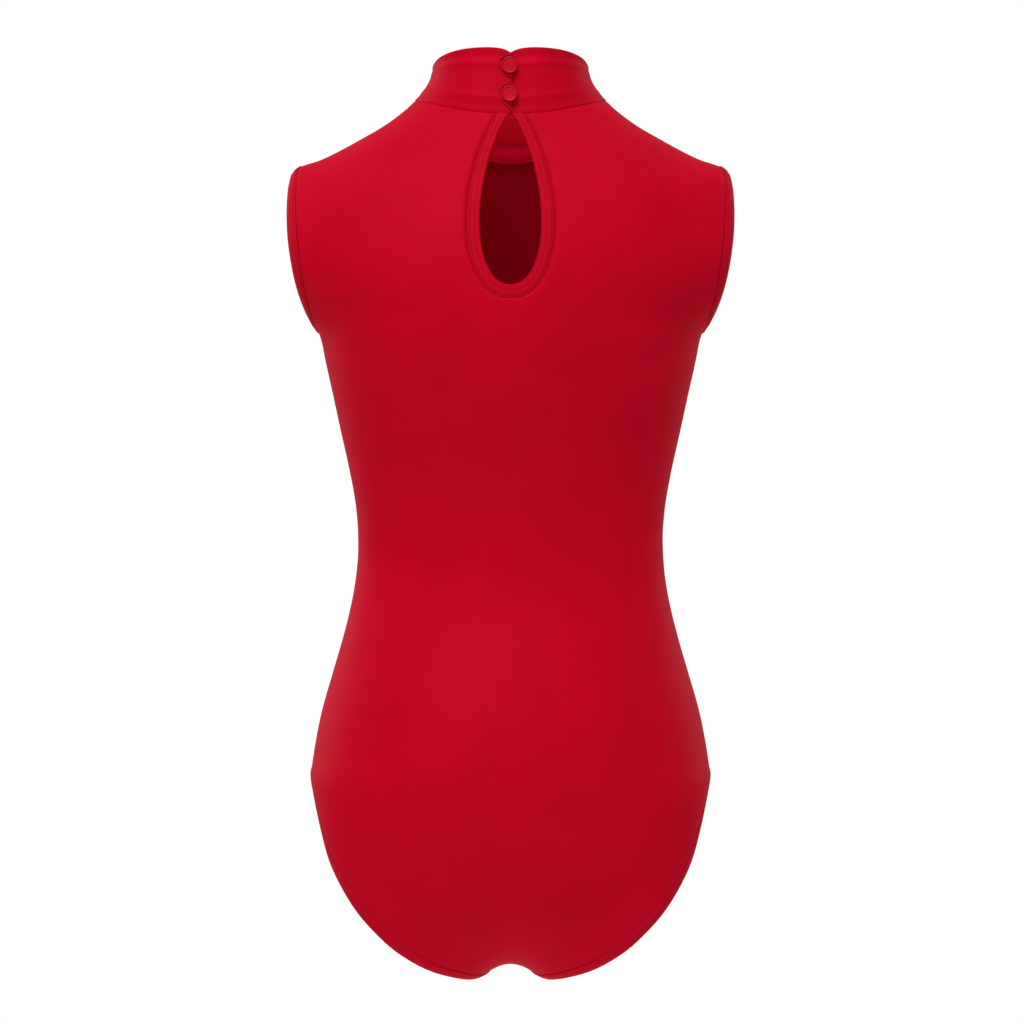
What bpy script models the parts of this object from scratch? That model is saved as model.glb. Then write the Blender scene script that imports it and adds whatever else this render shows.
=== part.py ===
"""A sleeveless high necked leotard with a keyhole back, filled out as if worn.

Metres, +Z up. The front faces -Y, the back faces +Y and the wearer's left is +X.
The origin lies between the two points where the shoulder seams meet the collar.
"""

import math

import bmesh
import bpy
import numpy as np
from mathutils import Matrix, Vector

MM = 0.001
HALVINGS = 40
TINY = 1e-9
WELD = 0.01 * MM

# driving dimensions
CLOTH = 1.1 * MM
BAND_WALL = 1.8 * MM
COLLAR_WALL = 2.0 * MM
SEAM_GAP = 0.5 * MM
ARMHOLE_BAND = 9.0 * MM
LEG_BAND = 8.5 * MM
BAND_CURL = 1.4 * MM
COLUMNS = 10
BAND_COLUMNS = 2
NEAR_EDGE = 0.93
HALF_ROW = 0.5
SMOOTH_ROUNDS = 3

# sections of the back, from the shoulder seam past armhole, side seam and leg opening
# edge x, edge y, edge z, centre y and centre z in millimetres, then the roundness
# the walls lean together at the shoulder seam, so its edges stand 0.1 further apart
BACK_SECTIONS = (
    (72.5, 0.1, 5.0, 62.0, -10.0, 0.50),
    (79.0, 0.1, -1.8, 66.0, -17.0, 0.50),
    (95.0, 0.1, -13.8, 71.0, -28.0, 0.52),
    (111.0, 0.1, -23.0, 76.0, -38.0, 0.55),
    (127.5, 0.1, -32.0, 81.0, -49.0, 0.60),
    (144.0, 0.1, -40.0, 85.0, -59.0, 0.66),
    (157.0, 0.1, -44.0, 88.0, -66.0, 0.72),
    (159.8, 13.0, -48.5, 91.0, -75.0, 0.78),
    (161.6, 25.0, -60.0, 95.0, -87.0, 0.86),
    (161.8, 35.5, -77.0, 99.0, -100.0, 0.93),
    (161.0, 43.0, -95.0, 102.0, -113.0, 0.96),
    (159.2, 47.0, -112.0, 104.0, -125.0, 0.97),
    (156.8, 47.0, -128.5, 105.0, -137.5, 0.95),
    (153.8, 42.5, -143.5, 105.0, -149.5, 0.90),
    (150.2, 33.0, -157.0, 104.6, -160.5, 0.80),
    (146.6, 18.0, -168.0, 103.9, -170.5, 0.62),
    (145.0, 0.0, -172.0, 102.8, -179.0, 0.46),
    (141.6, 0.0, -184.0, 101.0, -190.0, 0.46),
    (135.2, 0.0, -214.0, 95.5, -215.0, 0.48),
    (128.7, 0.0, -244.7, 86.5, -245.0, 0.50),
    (121.9, 0.0, -275.0, 76.0, -275.0, 0.50),
    (116.6, 0.0, -305.5, 67.5, -305.5, 0.50),
    (115.4, 0.0, -335.9, 63.5, -336.0, 0.50),
    (118.4, 0.0, -366.0, 66.5, -366.0, 0.50),
    (125.3, 0.0, -396.7, 76.0, -396.5, 0.50),
    (134.0, 0.0, -427.0, 87.5, -426.5, 0.49),
    (142.8, 0.0, -457.5, 97.5, -456.0, 0.47),
    (148.0, 0.0, -484.0, 103.5, -481.0, 0.44),
    (150.3, 0.0, -500.0, 106.0, -496.0, 0.42),
    (150.2, 17.0, -506.0, 107.0, -509.0, 0.46),
    (147.0, 32.0, -520.0, 107.2, -523.0, 0.52),
    (141.5, 45.0, -540.0, 106.2, -538.0, 0.60),
    (133.0, 56.0, -564.0, 103.5, -555.0, 0.70),
    (120.5, 64.0, -585.5, 99.5, -571.0, 0.80),
    (108.3, 68.0, -602.0, 94.5, -584.0, 0.88),
    (96.0, 69.0, -615.0, 88.5, -596.0, 0.94),
    (80.5, 66.0, -629.5, 79.0, -611.5, 1.00),
    (58.5, 55.5, -644.0, 66.5, -625.5, 1.00),
    (38.0, 42.0, -652.0, 52.0, -637.5, 1.00),
    (24.0, 26.0, -655.8, 34.5, -645.5, 1.00),
    (17.5, 9.5, -655.6, 13.0, -649.0, 1.00),
    (15.2, -6.5, -654.2, -5.5, -649.8, 1.00),
    (15.0, -20.0, -653.0, -20.0, -649.6, 1.00),
)

# the same seams seen from the front, whose centre line starts lower at the neck
FRONT_SECTIONS = (
    (72.5, -0.1, 5.0, -60.0, -38.0, 0.50),
    (79.0, -0.1, -1.8, -66.0, -47.0, 0.50),
    (95.0, -0.1, -13.8, -72.0, -57.0, 0.52),
    (111.0, -0.1, -23.0, -78.0, -67.0, 0.55),
    (127.5, -0.1, -32.0, -84.0, -78.0, 0.60),
    (144.0, -0.1, -40.0, -88.5, -87.0, 0.66),
    (157.0, -0.1, -44.0, -92.0, -94.0, 0.72),
    (159.8, -13.0, -48.5, -95.5, -101.0, 0.78),
    (161.3, -25.0, -60.0, -99.0, -109.5, 0.86),
    (161.0, -36.0, -77.0, -103.0, -119.0, 0.93),
    (159.5, -44.0, -95.0, -106.5, -129.0, 0.96),
    (157.5, -48.5, -112.0, -109.5, -139.0, 0.97),
    (155.2, -48.5, -128.5, -111.5, -149.0, 0.95),
    (152.8, -43.5, -143.5, -112.5, -159.0, 0.90),
    (149.8, -33.5, -157.0, -112.8, -168.5, 0.80),
    (146.6, -18.5, -168.0, -112.8, -177.5, 0.62),
    (145.0, 0.0, -172.0, -112.4, -185.5, 0.46),
    (141.6, 0.0, -184.0, -111.3, -195.0, 0.46),
    (135.2, 0.0, -214.0, -107.0, -218.0, 0.48),
    (128.7, 0.0, -244.7, -100.0, -247.0, 0.50),
    (121.9, 0.0, -275.0, -92.5, -276.5, 0.50),
    (116.6, 0.0, -305.5, -87.5, -306.0, 0.50),
    (115.4, 0.0, -335.9, -86.5, -336.0, 0.50),
    (118.4, 0.0, -366.0, -89.0, -366.0, 0.50),
    (125.3, 0.0, -396.7, -93.0, -397.0, 0.50),
    (134.0, 0.0, -427.0, -97.0, -428.0, 0.49),
    (142.8, 0.0, -457.5, -98.5, -459.0, 0.47),
    (148.0, 0.0, -484.0, -98.0, -486.0, 0.45),
    (150.3, 0.0, -500.0, -97.0, -502.5, 0.43),
    (148.3, -17.0, -503.0, -96.3, -511.5, 0.47),
    (141.0, -35.0, -511.0, -95.2, -522.0, 0.53),
    (129.0, -51.0, -523.5, -93.6, -534.0, 0.64),
    (113.5, -63.0, -539.0, -91.5, -548.0, 0.74),
    (98.5, -71.0, -553.5, -89.0, -562.0, 0.84),
    (83.0, -75.5, -569.0, -85.5, -576.0, 0.92),
    (68.0, -76.0, -585.0, -81.5, -590.0, 1.00),
    (54.5, -72.5, -601.0, -76.0, -604.5, 1.00),
    (41.5, -65.5, -616.0, -68.0, -616.5, 1.00),
    (31.0, -56.0, -630.0, -58.0, -628.5, 1.00),
    (22.5, -45.0, -641.0, -46.5, -638.5, 1.00),
    (17.0, -33.0, -649.2, -34.0, -645.8, 1.00),
    (15.0, -20.0, -653.0, -20.0, -649.6, 1.00),
)

# section numbers where one seam ends and the next begins, the same in both tables
SHOULDER_TIP = 6
UNDERARM = 16
HIP = 28
CROTCH_ROWS = 5

# keyhole: heights, and half widths of the opening and of the binding's outer line
KEYHOLE_TOP = -10.0 * MM
OPENING_BOTTOM = -139.5 * MM
BINDING_BOTTOM = -149.5 * MM
OPENING_START = 0.5 * MM
OPENING_SWELL = 50.5 * MM
OPENING_RISE = 0.80
BINDING_START = 9.8 * MM
BINDING_SWELL = 61.0 * MM
BINDING_RISE = 0.85
KEYHOLE_ROUND = 0.45
KEYHOLE_GAP = 0.7 * MM
# sections added round the keyhole's bottom, and how many table rows they span
BOTTOM_ROWS = 5
BOTTOM_SPAN = 1.6
BOTTOM_CLEAR = 0.2

# collar: a band that leans in from the neck seam to its rim
RIM_HALF_WIDTH = 58.5 * MM
RIM_BACK = 57.0 * MM
RIM_FRONT = 52.0 * MM
RIM_SIDE_HEIGHT = 29.0 * MM
RIM_BACK_RISE = 11.6 * MM
RIM_FRONT_FALL = 16.0 * MM
RIM_SQUARE = 2.4
RIM_FLAT = 3.6
NOTCH_DEPTH = 4.4 * MM
NOTCH_WIDTH = 6.0 * MM
COLLAR_LEAN = 2.0
NECK_GAP = 0.9 * MM
COLLAR_STATIONS = 44
NOTCH_STATIONS = (0.0, 1.5 * MM, 4.0 * MM)
COLLAR_ROWS = 5
NEAR_PART = 0.02
UNDERLAP = 12.0 * MM
OVERLAP = 0.4 * MM
LAP_STEP = 2.5 * MM
LAP_START = 2.0 * MM
LAP_BLEND = 14.0 * MM

# closure: two buttons, and the loops round them as a start and an end angle with a tail
BUTTON_RADIUS = 6.2 * MM
BUTTON_HEIGHT = 3.0 * MM
BUTTON_RIM = 1.2 * MM
BUTTON_DISH = 0.6 * MM
BUTTON_SIDES = 24
SHARP_ANGLE = math.radians(40)
BUTTON_X = 0.8 * MM
BUTTON_HEIGHTS = {"button_upper": 26.5 * MM, "button_lower": 4.8 * MM}
CORD_RADIUS = 0.6 * MM
LOOP_RADIUS = 7.4 * MM
LOOP_STATIONS = 20
# name: button, start degrees, end degrees, tail x, tail y and tail lift in millimetres
LOOPS = {
    "button_loop_upper": ("button_upper", 72.0, 288.0, 2.4, -9.2, 0.1),
    "button_loop_lower": ("button_lower", 72.0, 214.0, 1.6, -12.4, 0.45),
}
REST_GAP = 0.47 * MM

# colour and roughness of each kind of cloth and trim
FINISHES = {
    "knit": ((0.52, 0.005, 0.018), 0.6),
    "binding": ((0.48, 0.005, 0.016), 0.62),
    "hem": ((0.48, 0.005, 0.016), 0.6),
    "cord": ((0.42, 0.004, 0.014), 0.55),
    "button": ((0.46, 0.006, 0.018), 0.45),
}


def clear_scene():
    for item in list(bpy.data.objects):
        bpy.data.objects.remove(item, do_unlink=True)


def make_material(piece, kind):
    """A piece's own material, in the finish of its kind."""
    colour, roughness = FINISHES[kind]
    material = bpy.data.materials.new(piece + "_" + kind)
    material.use_nodes = True
    shader = material.node_tree.nodes["Principled BSDF"]
    shader.inputs["Base Color"].default_value = (*colour, 1.0)
    shader.inputs["Roughness"].default_value = roughness
    shader.inputs["Metallic"].default_value = 0.0
    return material


def smooth_row(table, place):
    """The table's row at a place between its rows, on a smooth curve through them."""
    rows = np.array(table) * ([MM] * (len(table[0]) - 1) + [1.0])
    last = len(rows) - 1
    index = min(int(place), last - 1)
    part = place - index
    start, end = rows[index], rows[index + 1]
    slope_start = (end - rows[index - 1]) / 2 if index > 0 else end - start
    slope_end = (rows[index + 2] - start) / 2 if index + 2 <= last else end - start
    return (
        (2 * part**3 - 3 * part**2 + 1) * start
        + (part**3 - 2 * part**2 + part) * slope_start
        + (3 * part**2 - 2 * part**3) * end
        + (part**3 - part**2) * slope_end
    )


def section_point(table, place, across):
    """A point of a panel: across runs from -1 at one edge over 0 at the centre to 1."""
    edge_x, edge_y, edge_z, centre_y, centre_z, roundness = smooth_row(table, place)
    flatness = min(max((roundness - 0.5) * 2, 0.0), 1.0)
    share = abs(across)
    reach = (1 - flatness) * math.sin(share * math.pi / 2) + flatness * share
    left = max(1 - reach * reach, 0.0)
    depth = edge_y + (centre_y - edge_y) * left**roundness + facing(table) * SEAM_GAP / 2
    height = edge_z + (centre_z - edge_z) * left
    return Vector((math.copysign(edge_x * reach, across), depth, height))


def facing(table):
    """1 for the back's table and -1 for the front's."""
    return 1 if table is BACK_SECTIONS else -1


def teardrop(part, start, swell, rise):
    """Half width of the keyhole's lines, from part 0 at the neck to part 1 at the bottom."""
    return start * math.sqrt(1 - part) + swell * part**rise * (1 - part) ** KEYHOLE_ROUND


def binding_line(height, spare):
    """Half width of the binding's outer line at a height, moved out by a spare gap."""
    part = (KEYHOLE_TOP - height) / (KEYHOLE_TOP - BINDING_BOTTOM + spare)
    if part >= 1:
        return 0.0
    return teardrop(max(part, 0.0), BINDING_START + spare, BINDING_SWELL, BINDING_RISE)


def find_zero(value, low, high):
    """Halve the range until the value's change of sign is found."""
    for _ in range(HALVINGS):
        middle = (low + high) / 2
        if value(middle) > 0:
            high = middle
        else:
            low = middle
    return (low + high) / 2


def keyhole_share(place, spare):
    """Where a section of the back meets the binding's outer line, as its share across."""

    def past_line(share):
        point = section_point(BACK_SECTIONS, place, share)
        return point.x - binding_line(point.z, spare)

    if section_point(BACK_SECTIONS, place, 0.0).z <= BINDING_BOTTOM - spare:
        return 0.0
    return find_zero(past_line, 0.0, 1.0)


def keyhole_side(place):
    return keyhole_share(place, KEYHOLE_GAP)


def back_point_at(x, height):
    """The point of the back's surface at a half width and a height."""

    def share_at(place):
        return find_zero(lambda share: section_point(BACK_SECTIONS, place, share).x - x, 0.0, 1.0)

    def below(place):
        return height - section_point(BACK_SECTIONS, place, share_at(place)).z

    place = find_zero(below, 0.0, UNDERARM)
    return section_point(BACK_SECTIONS, place, share_at(place))


def keyhole_end(spare):
    """The section whose centre touches the bottom of the binding's outer line."""

    def below_binding(place):
        return BINDING_BOTTOM - spare - section_point(BACK_SECTIONS, place, 0.0).z

    return find_zero(below_binding, UNDERARM / 2, UNDERARM)


def back_places():
    """Section places down the back, closer together round the keyhole's bottom."""
    bottom = keyhole_end(KEYHOLE_GAP) + TINY
    start = bottom - BOTTOM_SPAN
    rounds = [
        start + BOTTOM_SPAN * math.sin(step / BOTTOM_ROWS * math.pi / 2)
        for step in range(1, BOTTOM_ROWS + 1)
    ]
    whole = [float(index) for index in range(len(BACK_SECTIONS))]
    return sorted(rounds + [place for place in whole if not start < place < bottom + BOTTOM_CLEAR])


def front_places():
    return [float(index) for index in range(len(FRONT_SECTIONS))]


def grid_mesh(name, rows, closed=False):
    """A mesh of faces between rows of points, the last row joined to the first if closed."""
    mesh = bpy.data.meshes.new(name)
    work = bmesh.new()
    lines = [[work.verts.new(point) for point in row] for row in rows]
    pairs = list(zip(lines, lines[1:]))
    if closed:
        pairs.append((lines[-1], lines[0]))
    for upper, lower in pairs:
        for index in range(len(upper) - 1):
            work.faces.new((upper[index], upper[index + 1], lower[index + 1], lower[index]))
    work.to_mesh(mesh)
    work.free()
    return mesh


def add_object(name, mesh, kind, wall=0.0):
    """Link a mesh as an object, with a wall of even thickness about its surface."""
    item = bpy.data.objects.new(name, mesh)
    bpy.context.scene.collection.objects.link(item)
    mesh.materials.append(make_material(name, kind))
    mesh.shade_smooth()
    if wall:
        solid = item.modifiers.new("wall", "SOLIDIFY")
        solid.thickness = wall
        solid.offset = 0.0
        solid.use_even_offset = True
    return item


def weld(mesh):
    """Join the two halves of a panel along the centre line."""
    work = bmesh.new()
    work.from_mesh(mesh)
    bmesh.ops.remove_doubles(work, verts=work.verts, dist=WELD)
    work.to_mesh(mesh)
    work.free()


def half_rows(table, places, side, inner_share):
    """Points of one half of a panel, from the centre or the keyhole to the edge."""
    rows = []
    for place in places:
        inner = inner_share(place)
        shares = [inner + (1 - inner) * step / COLUMNS for step in range(COLUMNS + 1)]
        rows.append([section_point(table, place, side * max(share, TINY)) for share in shares])
    return rows


def make_panel(name, table, places, inner_share):
    left = grid_mesh(name, half_rows(table, places, 1, inner_share))
    right = grid_mesh(name + "_right", half_rows(table, places, -1, inner_share))
    work = bmesh.new()
    work.from_mesh(right)
    bmesh.ops.reverse_faces(work, faces=work.faces)
    work.from_mesh(left)
    work.to_mesh(left)
    work.free()
    bpy.data.meshes.remove(right)
    weld(left)
    return add_object(name, left, "knit", CLOTH)


def edge_frame(table, place, side):
    """A point on a panel's edge and the outward direction of the cloth there."""
    point = section_point(table, place, side)
    inside = section_point(table, place, side * NEAR_EDGE)
    last = len(table) - 1
    above = section_point(table, max(place - HALF_ROW, 0.0), side)
    below = section_point(table, min(place + HALF_ROW, last), side)
    normal = (below - above).cross(point - inside).normalized()
    at_crotch = place >= len(table) - CROTCH_ROWS
    outward = Vector((0, 0, -1)) if at_crotch else Vector((point.x, point.y, 0.0))
    return point, normal if normal.dot(outward) > 0 else -normal


def opening_loop(first, last, side):
    """Points and cloth directions round an opening, down the back and up the front."""
    back = [place for place in back_places() if first <= place <= last]
    end = len(FRONT_SECTIONS) - 1 if last == len(BACK_SECTIONS) - 1 else last
    front = [place for place in front_places() if first < place < end]
    down = [edge_frame(BACK_SECTIONS, place, side) for place in back]
    return down + [edge_frame(FRONT_SECTIONS, place, side) for place in reversed(front)]


def smooth_directions(directions):
    """Average each direction with its neighbours round a closed loop."""
    count = len(directions)
    for _ in range(SMOOTH_ROUNDS):
        directions = [
            (directions[index - 1] + directions[index] * 2 + directions[(index + 1) % count]).normalized()
            for index in range(count)
        ]
    return directions


def make_band(name, first, last, side, width, kind):
    """A closed strip that carries on from the panels' edges round an opening."""
    loop = opening_loop(first, last, side)
    points = [point for point, _ in loop]
    normals = smooth_directions([normal for _, normal in loop])
    centre = sum(points, Vector()) / len(points)
    rows = []
    for index, point in enumerate(points):
        along = points[(index + 1) % len(points)] - points[index - 1]
        across = normals[index].cross(along).normalized()
        if across.dot(centre - point) < 0:
            across = -across
        row = []
        for step in range(BAND_COLUMNS + 1):
            part = step / BAND_COLUMNS
            distance = SEAM_GAP + (width - SEAM_GAP) * part
            row.append(point + across * distance - normals[index] * BAND_CURL * part * part)
        rows.append(row)
    mesh = grid_mesh(name, rows, closed=True)
    return add_object(name, mesh, kind, BAND_WALL)


def make_keyhole_binding():
    """A strip round the keyhole, from the neck seam down one side and up the other."""
    end = keyhole_end(0.0)
    parts = []
    for place in [place for place in back_places() if place < end] + [end]:
        height = section_point(BACK_SECTIONS, place, keyhole_share(place, 0.0)).z
        parts.append(max((KEYHOLE_TOP - height) / (KEYHOLE_TOP - BINDING_BOTTOM), 0.0))
    parts[-1] = 1.0
    rows = []
    for part in parts:
        opening_height = KEYHOLE_TOP + (OPENING_BOTTOM - KEYHOLE_TOP) * part
        binding_height = KEYHOLE_TOP + (BINDING_BOTTOM - KEYHOLE_TOP) * part
        opening = (teardrop(part, OPENING_START, OPENING_SWELL, OPENING_RISE), opening_height)
        binding = (teardrop(part, BINDING_START, BINDING_SWELL, BINDING_RISE), binding_height)
        row = []
        for step in range(BAND_COLUMNS + 1):
            share = step / BAND_COLUMNS
            x = opening[0] + (binding[0] - opening[0]) * share
            height = opening[1] + (binding[1] - opening[1]) * share
            row.append(back_point_at(x, height))
        rows.append(row)
    mirrored = [[Vector((-point.x, point.y, point.z)) for point in row] for row in rows[-2::-1]]
    mesh = grid_mesh("keyhole_binding", rows + mirrored)
    return add_object("keyhole_binding", mesh, "binding", BAND_WALL)


def neck_point(angle):
    """The neck seam at an angle from the centre of the back, turning towards -X."""
    table = BACK_SECTIONS if math.cos(angle) >= 0 else FRONT_SECTIONS
    share = abs(math.asin(math.sin(angle))) / (math.pi / 2)
    point = section_point(table, 0.0, max(share, TINY))
    return Vector((-math.copysign(point.x, math.sin(angle)), point.y, point.z))


def rim_point(angle):
    """The collar's top edge at the same angle."""
    side = math.sin(angle)
    ahead = math.cos(angle)
    x = -math.copysign(abs(side) ** (2 / RIM_SQUARE), side) * RIM_HALF_WIDTH
    reach = RIM_BACK if ahead >= 0 else RIM_FRONT
    y = math.copysign(abs(ahead) ** (2 / RIM_SQUARE), ahead) * reach
    flat = math.sqrt(1 - (abs(x) / RIM_HALF_WIDTH) ** RIM_FLAT)
    if ahead < 0:
        return Vector((x, y, RIM_SIDE_HEIGHT - RIM_FRONT_FALL * flat))
    notch = NOTCH_DEPTH * math.exp(-abs(x) / NOTCH_WIDTH)
    return Vector((x, y, RIM_SIDE_HEIGHT + RIM_BACK_RISE * flat - notch))


def collar_point(angle, part):
    """A point of the collar's middle surface, part 0 at the neck seam and 1 at the rim."""
    base = neck_point(angle)
    base.z += NECK_GAP
    rim = rim_point(angle)
    lean = 1 - (1 - part) ** COLLAR_LEAN
    return Vector((
        base.x + (rim.x - base.x) * lean,
        base.y + (rim.y - base.y) * lean,
        base.z + (rim.z - base.z) * part,
    ))


def make_collar():
    """One strip whose first end passes under its last end at the centre of the back."""
    start = -math.asin(UNDERLAP / RIM_BACK)
    end = math.tau + OVERLAP / RIM_BACK
    rows = []
    turns = [start + (end - start) * step / COLLAR_STATIONS for step in range(COLLAR_STATIONS + 1)]
    turns += [travel / RIM_BACK for travel in NOTCH_STATIONS]
    turns += [math.tau - travel / RIM_BACK for travel in NOTCH_STATIONS]
    for turn in sorted(turns):
        travel = turn * RIM_BACK
        blend = min(max((travel - LAP_START) / LAP_BLEND, 0.0), 1.0)
        inset = LAP_STEP * (1 - blend * blend * (3 - 2 * blend))
        row = []
        for level in range(COLLAR_ROWS + 1):
            point = collar_point(turn % math.tau, level / COLLAR_ROWS)
            inward = Vector((-point.x, -point.y, 0.0)).normalized()
            row.append(point + inward * inset)
        rows.append(row)
    return add_object("collar", grid_mesh("collar", rows), "knit", COLLAR_WALL)


def closure_frame(height):
    """A matrix on the collar's outer face at the centre of the back, its Z pointing out."""
    low = collar_point(0.0, 0.0)
    high = collar_point(0.0, 1.0)
    part = (height - low.z) / (high.z - low.z)
    place = collar_point(0.0, part)
    upward = (collar_point(0.0, part + NEAR_PART) - collar_point(0.0, part - NEAR_PART)).normalized()
    outward = Vector((1, 0, 0)).cross(upward).normalized()
    if outward.y < 0:
        outward = -outward
    place = Vector((BUTTON_X, place.y, place.z)) + outward * COLLAR_WALL / 2
    side = upward.cross(outward)
    return Matrix.Translation(place) @ Matrix((side, upward, outward)).transposed().to_4x4()


def make_button(name, height):
    """A round button with a raised rim round a flat disc, turned from its half section."""
    foot = REST_GAP
    top = REST_GAP + BUTTON_HEIGHT
    section = (
        (0.0, foot),
        (BUTTON_RADIUS - BUTTON_RIM, foot),
        (BUTTON_RADIUS, foot + BUTTON_DISH),
        (BUTTON_RADIUS, top - BUTTON_DISH),
        (BUTTON_RADIUS - BUTTON_RIM / 2, top),
        (BUTTON_RADIUS - BUTTON_RIM, top - BUTTON_DISH),
        (0.0, top - BUTTON_DISH),
    )
    work = bmesh.new()
    line = [work.verts.new((radius, 0.0, level)) for radius, level in section]
    edges = [work.edges.new(pair) for pair in zip(line, line[1:])]
    bmesh.ops.spin(
        work, geom=line + edges, cent=(0, 0, 0), axis=(0, 0, 1), angle=math.tau, steps=BUTTON_SIDES
    )
    bmesh.ops.remove_doubles(work, verts=work.verts, dist=WELD)
    bmesh.ops.recalc_face_normals(work, faces=work.faces)
    mesh = bpy.data.meshes.new(name)
    work.to_mesh(mesh)
    work.free()
    item = add_object(name, mesh, "button")
    item.matrix_world = closure_frame(height)
    mesh.set_sharp_from_angle(angle=SHARP_ANGLE)


def make_loop(name):
    """A cord on the collar that bends round a button's outer side and ends at the lap."""
    button, first, last, tail_x, tail_y, tail_lift = LOOPS[name]
    rest = REST_GAP + CORD_RADIUS
    route = []
    for step in range(LOOP_STATIONS + 1):
        turn = math.radians(first + (last - first) * step / LOOP_STATIONS)
        route.append((LOOP_RADIUS * math.cos(turn), LOOP_RADIUS * math.sin(turn), rest))
    route.append((tail_x * MM, tail_y * MM, rest + tail_lift * MM))
    curve = bpy.data.curves.new(name, "CURVE")
    curve.dimensions = "3D"
    curve.bevel_depth = CORD_RADIUS
    curve.bevel_resolution = 1
    curve.use_fill_caps = True
    spline = curve.splines.new("POLY")
    spline.points.add(len(route) - 1)
    for point, spot in zip(spline.points, route):
        point.co = (*spot, 1.0)
    item = bpy.data.objects.new(name, curve)
    item.matrix_world = closure_frame(BUTTON_HEIGHTS[button])
    bpy.context.scene.collection.objects.link(item)
    curve.materials.append(make_material(name, "cord"))


def main():
    clear_scene()
    make_panel("back_panel", BACK_SECTIONS, back_places(), keyhole_side)
    make_panel("front_panel", FRONT_SECTIONS, front_places(), lambda place: 0.0)
    for side, label in ((1, "left"), (-1, "right")):
        make_band("armhole_binding_" + label, SHOULDER_TIP, UNDERARM, side, ARMHOLE_BAND, "binding")
        make_band("leg_hem_" + label, HIP, len(BACK_SECTIONS) - 1, side, LEG_BAND, "hem")
    make_keyhole_binding()
    make_collar()
    for name, height in BUTTON_HEIGHTS.items():
        make_button(name, height)
    for name in LOOPS:
        make_loop(name)


main()
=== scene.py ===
import math
import bmesh
import bpy
import numpy as np
from mathutils import Matrix, Vector


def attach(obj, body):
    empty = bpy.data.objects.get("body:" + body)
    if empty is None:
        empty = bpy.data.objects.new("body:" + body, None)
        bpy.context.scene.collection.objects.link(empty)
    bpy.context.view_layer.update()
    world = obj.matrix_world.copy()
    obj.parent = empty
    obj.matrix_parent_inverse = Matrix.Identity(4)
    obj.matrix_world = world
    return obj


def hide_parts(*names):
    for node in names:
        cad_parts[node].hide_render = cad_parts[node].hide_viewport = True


# a worn leotard, seen from behind: cloth shells, bands, collar, buttons and stitches on the frame's solids

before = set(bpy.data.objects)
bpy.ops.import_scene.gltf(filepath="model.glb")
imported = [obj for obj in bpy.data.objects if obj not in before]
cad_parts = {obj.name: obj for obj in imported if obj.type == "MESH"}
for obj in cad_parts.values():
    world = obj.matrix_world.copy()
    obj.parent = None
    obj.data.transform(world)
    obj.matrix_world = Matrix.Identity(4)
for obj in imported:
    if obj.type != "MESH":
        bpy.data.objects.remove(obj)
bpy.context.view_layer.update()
mm = 0.001
sliver = 1e-9  # share of a width that keeps a point on its own side of the centre line
mergeDistance = 0.004 * mm

# seams of the back: edge x, edge y, edge z, centre y, centre z in mm, then roundness
backSections = (
    (72.5, 0.0, 5.0, 62.0, -10.0, 0.50),
    (79.0, 0.0, -1.8, 66.0, -17.0, 0.50),
    (95.0, 0.0, -13.8, 71.0, -28.0, 0.52),
    (111.0, 0.0, -23.0, 76.0, -38.0, 0.55),
    (127.5, 0.0, -32.0, 81.0, -49.0, 0.60),
    (144.0, 0.0, -40.0, 85.0, -59.0, 0.66),
    (157.0, 0.0, -44.0, 88.0, -66.0, 0.72),  # shoulder tip
    (159.8, 13.0, -48.5, 91.0, -75.0, 0.78),
    (161.6, 25.0, -60.0, 95.0, -87.0, 0.86),
    (161.8, 35.5, -77.0, 99.0, -100.0, 0.93),
    (161.0, 43.0, -95.0, 102.0, -113.0, 0.96),
    (159.2, 47.0, -112.0, 104.0, -125.0, 0.97),
    (156.8, 47.0, -128.5, 105.0, -137.5, 0.95),
    (153.8, 42.5, -143.5, 105.0, -149.5, 0.90),
    (150.2, 33.0, -157.0, 104.6, -160.5, 0.80),
    (146.6, 18.0, -168.0, 103.9, -170.5, 0.62),
    (145.0, 0.0, -172.0, 102.8, -179.0, 0.46),  # underarm
    (141.6, 0.0, -184.0, 101.0, -190.0, 0.46),
    (135.2, 0.0, -214.0, 95.5, -215.0, 0.48),
    (128.7, 0.0, -244.7, 86.5, -245.0, 0.50),
    (121.9, 0.0, -275.0, 76.0, -275.0, 0.50),
    (116.6, 0.0, -305.5, 67.5, -305.5, 0.50),
    (115.4, 0.0, -335.9, 63.5, -336.0, 0.50),
    (118.4, 0.0, -366.0, 66.5, -366.0, 0.50),
    (125.3, 0.0, -396.7, 76.0, -396.5, 0.50),
    (134.0, 0.0, -427.0, 87.5, -426.5, 0.49),
    (142.8, 0.0, -457.5, 97.5, -456.0, 0.47),
    (148.0, 0.0, -484.0, 103.5, -481.0, 0.44),
    (150.3, 0.0, -500.0, 106.0, -496.0, 0.42),  # hip
    (150.2, 17.0, -506.0, 107.0, -509.0, 0.46),
    (147.0, 32.0, -520.0, 107.2, -523.0, 0.52),
    (141.5, 45.0, -540.0, 106.2, -538.0, 0.60),
    (133.0, 56.0, -564.0, 103.5, -555.0, 0.70),
    (120.5, 64.0, -585.5, 99.5, -571.0, 0.80),
    (108.3, 68.0, -602.0, 94.5, -584.0, 0.88),
    (96.0, 69.0, -615.0, 88.5, -596.0, 0.94),
    (80.5, 66.0, -629.5, 79.0, -611.5, 1.00),
    (58.5, 55.5, -644.0, 66.5, -625.5, 1.00),
    (38.0, 42.0, -652.0, 52.0, -637.5, 1.00),
    (24.0, 26.0, -655.8, 34.5, -645.5, 1.00),
    (17.5, 9.5, -655.6, 13.0, -649.0, 1.00),
    (15.2, -6.5, -654.2, -5.5, -649.8, 1.00),
    (15.0, -20.0, -653.0, -20.0, -649.6, 1.00),  # crotch
)
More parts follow.
